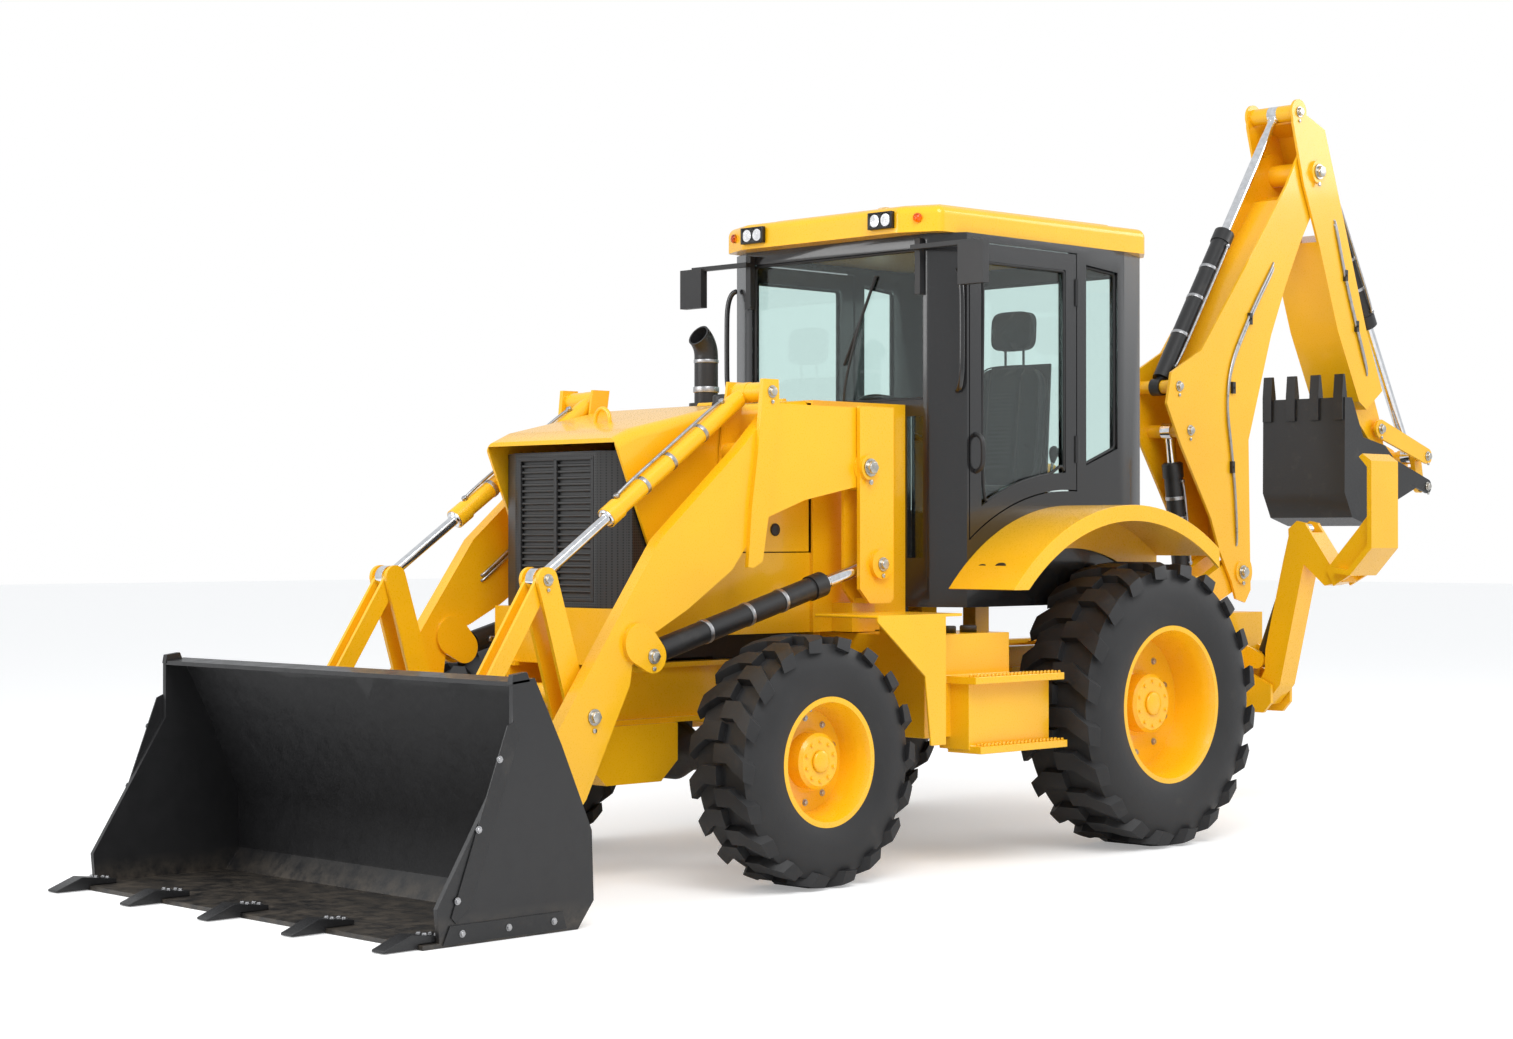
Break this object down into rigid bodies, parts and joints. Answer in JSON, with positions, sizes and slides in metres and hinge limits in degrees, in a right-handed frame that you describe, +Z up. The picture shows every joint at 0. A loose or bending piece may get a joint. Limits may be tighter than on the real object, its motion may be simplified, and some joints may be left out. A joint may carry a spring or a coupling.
{
  "type": "backhoe loader",
  "caption": "Wheeled digging and loading machine with a lift bucket in front, a glazed cab, swing-out stabiliser legs and a folding digging arm at the rear.",
  "frame": {"origin": "on the ground under the middle of the machine's overall length and width", "axes": "+X forward towards the loader bucket, +Y to the machine's left, +Z up"},
  "size_m": [8.0989, 2.28, 3.6888],
  "materials": {
    "yellow_paint": "gloss",
    "black_paint": "gloss",
    "dark_steel": "satin",
    "chrome_rod": "polished",
    "tyre_rubber": "matte",
    "tinted_glass": "clear",
    "seat_fabric": "woven",
    "cast_block": "rough",
    "dark_plastic": "matte",
    "exhaust_steel": "satin",
    "lamp_lens": "gloss"
  },
  "bodies": {
    "chassis": {"main_frame": "dark_steel", "rear_frame": "yellow_paint", "loader_towers": "yellow_paint", "engine_and_gearbox": "cast_block", "front_axle": "dark_steel", "rear_axle": "dark_steel", "side_boxes": "yellow_paint", "rear_fenders": "yellow_paint", "grille": "dark_plastic", "cowl": "yellow_paint", "exhaust": "exhaust_steel", "cab_frame": "black_paint", "cab_glass": "tinted_glass", "roof": "yellow_paint", "lamps": "lamp_lens", "seat": "seat_fabric", "controls": "dark_plastic", "mirrors": "black_paint"},
    "knuckle_left": {"knuckle_left": "dark_steel"},
    "knuckle_right": {"knuckle_right": "dark_steel"},
    "wheel_front_left": {"tyre_front_left": "tyre_rubber", "rim_front_left": "yellow_paint"},
    "wheel_front_right": {"tyre_front_right": "tyre_rubber", "rim_front_right": "yellow_paint"},
    "wheel_rear_left": {"tyre_rear_left": "tyre_rubber", "rim_rear_left": "yellow_paint"},
    "wheel_rear_right": {"tyre_rear_right": "tyre_rubber", "rim_rear_right": "yellow_paint"},
    "door_left": {"door_left": "black_paint", "door_glass_left": "tinted_glass"},
    "door_right": {"door_right": "black_paint", "door_glass_right": "tinted_glass"},
    "hood": {"hood": "yellow_paint"},
    "loader_arms": {"loader_arms": "yellow_paint"},
    "front_bucket": {"front_bucket": "dark_steel", "bucket_teeth": "dark_steel"},
    "tip_levers": {"tip_levers": "yellow_paint"},
    "bucket_links": {"bucket_links": "dark_steel"},
    "tilt_barrels": {"tilt_barrels": "yellow_paint"},
    "tilt_rods": {"tilt_rods": "chrome_rod"},
    "lift_barrels": {"lift_barrels": "dark_steel"},
    "lift_rods": {"lift_rods": "chrome_rod"},
    "swing_post": {"swing_post": "yellow_paint"},
    "boom": {"boom": "yellow_paint"},
    "dipper": {"dipper": "yellow_paint"},
    "hoe_bucket": {"hoe_bucket": "dark_steel"},
    "tipping_lever": {"tipping_lever": "yellow_paint"},
    "hoe_link": {"hoe_link": "yellow_paint"},
    "boom_barrel": {"boom_barrel": "dark_steel"},
    "boom_rod": {"boom_rod": "chrome_rod"},
    "dipper_barrel": {"dipper_barrel": "dark_steel"},
    "dipper_rod": {"dipper_rod": "chrome_rod"},
    "hoe_bucket_barrel": {"hoe_bucket_barrel": "dark_steel"},
    "hoe_bucket_rod": {"hoe_bucket_rod": "chrome_rod"},
    "leg_left": {"leg_left": "yellow_paint"},
    "leg_right": {"leg_right": "yellow_paint"},
    "leg_barrel_left": {"leg_barrel_left": "dark_steel"},
    "leg_barrel_right": {"leg_barrel_right": "dark_steel"},
    "leg_rod_left": {"leg_rod_left": "chrome_rod"},
    "leg_rod_right": {"leg_rod_right": "chrome_rod"}
  },
  "joints": [
    {"name": "steer_left", "type": "hinge", "parent": "chassis", "child": "knuckle_left", "pos_m": [1.89, 0.6, 0.49], "axis": [0, 0, 1], "range_deg": [-40, 40]},
    {"name": "wheel_spin_front_left", "type": "hinge", "parent": "knuckle_left", "child": "wheel_front_left", "pos_m": [1.89, 0.86, 0.49], "axis": [0, 1, 0], "continuous": true},
    {"name": "wheel_spin_rear_left", "type": "hinge", "parent": "chassis", "child": "wheel_rear_left", "pos_m": [-0.17, 0.93, 0.625], "axis": [0, 1, 0], "continuous": true},
    {"name": "steer_right", "type": "hinge", "parent": "chassis", "child": "knuckle_right", "pos_m": [1.89, -0.6, 0.49], "axis": [0, 0, 1], "range_deg": [-40, 40]},
    {"name": "wheel_spin_front_right", "type": "hinge", "parent": "knuckle_right", "child": "wheel_front_right", "pos_m": [1.89, -0.86, 0.49], "axis": [0, 1, 0], "continuous": true},
    {"name": "wheel_spin_rear_right", "type": "hinge", "parent": "chassis", "child": "wheel_rear_right", "pos_m": [-0.17, -0.93, 0.625], "axis": [0, 1, 0], "continuous": true},
    {"name": "door_swing_left", "type": "hinge", "parent": "chassis", "child": "door_left", "pos_m": [-0.02, 0.7, 2], "axis": [0, 0, 1], "range_deg": [0, 80]},
    {"name": "door_swing_right", "type": "hinge", "parent": "chassis", "child": "door_right", "pos_m": [-0.02, -0.7, 2], "axis": [0, 0, -1], "range_deg": [0, 80]},
    {"name": "hood_lift", "type": "hinge", "parent": "chassis", "child": "hood", "pos_m": [1.39, 0, 1.93], "axis": [0, -1, 0], "range_deg": [0, 50]},
    {"name": "loader_lift", "type": "hinge", "parent": "chassis", "child": "loader_arms", "pos_m": [1.27, 0, 1.647], "axis": [0, -1, 0], "range_deg": [0, 86]},
    {"name": "front_bucket_tilt", "type": "hinge", "parent": "loader_arms", "child": "front_bucket", "pos_m": [3.04, 0, 0.245], "axis": [0, 1, 0], "range_deg": [-42, 60]},
    {"name": "tip_lever_turn", "type": "hinge", "parent": "loader_arms", "child": "tip_levers", "pos_m": [2.751, 0, 0.686], "axis": [0, 1, 0], "range_deg": [-42, 60]},
    {"name": "bucket_link_turn", "type": "hinge", "parent": "tip_levers", "child": "bucket_links", "pos_m": [2.91, 0, 1.2], "axis": [0, 1, 0], "range_deg": [-60, 42]},
    {"name": "tilt_barrel_turn", "type": "hinge", "parent": "loader_arms", "child": "tilt_barrels", "pos_m": [1.827, 0, 1.94], "axis": [0, 1, 0], "range_deg": [-4, 3]},
    {"name": "tilt_rod_slide", "type": "slide", "parent": "tilt_barrels", "child": "tilt_rods", "axis": [0.8257, 0, -0.5642], "range_m": [-0.33, 0.47]},
    {"name": "lift_barrel_turn", "type": "hinge", "parent": "loader_arms", "child": "lift_barrels", "pos_m": [2.467, 0, 0.905], "axis": [0, 1, 0], "range_deg": [0, 12]},
    {"name": "lift_rod_slide", "type": "slide", "parent": "lift_barrels", "child": "lift_rods", "axis": [-0.9655, 0, 0.2602], "range_m": [0, 0.48]},
    {"name": "swing", "type": "hinge", "parent": "chassis", "child": "swing_post", "pos_m": [-1.72, 0, 0.8], "axis": [0, 0, 1], "range_deg": [-90, 90]},
    {"name": "boom_lift", "type": "hinge", "parent": "swing_post", "child": "boom", "pos_m": [-2.119, 0, 1.179], "axis": [0, -1, 0], "range_deg": [0, 95]},
    {"name": "dipper_turn", "type": "hinge", "parent": "boom", "child": "dipper", "pos_m": [-2.787, 0, 3.317], "axis": [0, 1, 0], "range_deg": [0, 80]},
    {"name": "hoe_bucket_turn", "type": "hinge", "parent": "dipper", "child": "hoe_bucket", "pos_m": [-3.502, 0, 1.79], "axis": [0, 1, 0], "range_deg": [0, 90]},
    {"name": "tipping_lever_turn", "type": "hinge", "parent": "dipper", "child": "tipping_lever", "pos_m": [-3.468, 0, 1.96], "axis": [0, 1, 0], "range_deg": [0, 90]},
    {"name": "hoe_link_turn", "type": "hinge", "parent": "tipping_lever", "child": "hoe_link", "pos_m": [-3.955, 0, 1.819], "axis": [0, 1, 0], "range_deg": [-90, 0]},
    {"name": "boom_barrel_turn", "type": "hinge", "parent": "swing_post", "child": "boom_barrel", "pos_m": [-1.79, 0, 1.1], "axis": [0, -1, 0], "range_deg": [0, 77]},
    {"name": "boom_rod_slide", "type": "slide", "parent": "boom_barrel", "child": "boom_rod", "axis": [0.1483, 0, 0.9889], "range_m": [0, 0.39]},
    {"name": "dipper_barrel_turn", "type": "hinge", "parent": "boom", "child": "dipper_barrel", "pos_m": [-1.576, 0, 2.12], "axis": [0, -1, 0], "range_deg": [0, 5]},
    {"name": "dipper_rod_slide", "type": "slide", "parent": "dipper_barrel", "child": "dipper_rod", "axis": [-0.5736, 0, 0.8192], "range_m": [-0.44, 0]},
    {"name": "hoe_bucket_barrel_turn", "type": "hinge", "parent": "dipper", "child": "hoe_bucket_barrel", "pos_m": [-3.05, 0, 3.36], "axis": [0, 1, 0], "range_deg": [0, 2]},
    {"name": "hoe_bucket_rod_slide", "type": "slide", "parent": "hoe_bucket_barrel", "child": "hoe_bucket_rod", "axis": [-0.5064, 0, -0.8623], "range_m": [-0.73, 0]},
    {"name": "leg_lower_left", "type": "hinge", "parent": "chassis", "child": "leg_left", "pos_m": [-1.92, 0.42, 0.567], "axis": [-1, 0, 0], "range_deg": [0, 92]},
    {"name": "leg_barrel_turn_left", "type": "hinge", "parent": "chassis", "child": "leg_barrel_left", "pos_m": [-1.92, 0.4, 0.74], "axis": [-1, 0, 0], "range_deg": [0, 98]},
    {"name": "leg_rod_slide_left", "type": "slide", "parent": "leg_barrel_left", "child": "leg_rod_left", "axis": [0, 0.358, 0.9337], "range_m": [0, 0.26]},
    {"name": "leg_lower_right", "type": "hinge", "parent": "chassis", "child": "leg_right", "pos_m": [-1.92, -0.42, 0.567], "axis": [1, 0, 0], "range_deg": [0, 92]},
    {"name": "leg_barrel_turn_right", "type": "hinge", "parent": "chassis", "child": "leg_barrel_right", "pos_m": [-1.92, -0.4, 0.74], "axis": [1, 0, 0], "range_deg": [0, 98]},
    {"name": "leg_rod_slide_right", "type": "slide", "parent": "leg_barrel_right", "child": "leg_rod_right", "axis": [0, -0.358, 0.9337], "range_m": [0, 0.26]}
  ],
  "couplings": [
    {"joint": "steer_right", "follows": "steer_left", "ratio": 1},
    {"joint": "tip_lever_turn", "follows": "front_bucket_tilt", "ratio": 1},
    {"joint": "bucket_link_turn", "follows": "front_bucket_tilt", "ratio": -1},
    {"joint": "tilt_barrel_turn", "follows": "front_bucket_tilt", "ratio": -0.04},
    {"joint": "tilt_rod_slide", "follows": "front_bucket_tilt", "m_per_rad": 0.42903},
    {"joint": "lift_barrel_turn", "follows": "loader_lift", "ratio": 0.12863},
    {"joint": "lift_rod_slide", "follows": "loader_lift", "m_per_rad": 0.31264},
    {"joint": "tipping_lever_turn", "follows": "hoe_bucket_turn", "ratio": 1},
    {"joint": "hoe_link_turn", "follows": "hoe_bucket_turn", "ratio": -1},
    {"joint": "boom_barrel_turn", "follows": "boom_lift", "ratio": 0.79398},
    {"joint": "boom_rod_slide", "follows": "boom_lift", "m_per_rad": 0.22446},
    {"joint": "dipper_barrel_turn", "follows": "dipper_turn", "ratio": 0.04976},
    {"joint": "dipper_rod_slide", "follows": "dipper_turn", "m_per_rad": -0.30606},
    {"joint": "hoe_bucket_barrel_turn", "follows": "hoe_bucket_turn", "ratio": 0.0117},
    {"joint": "hoe_bucket_rod_slide", "follows": "hoe_bucket_turn", "m_per_rad": -0.45617},
    {"joint": "leg_barrel_turn_left", "follows": "leg_lower_left", "ratio": 1.0469},
    {"joint": "leg_rod_slide_left", "follows": "leg_lower_left", "m_per_rad": 0.15133},
    {"joint": "leg_barrel_turn_right", "follows": "leg_lower_right", "ratio": 1.0469},
    {"joint": "leg_rod_slide_right", "follows": "leg_lower_right", "m_per_rad": 0.15133}
  ]
}
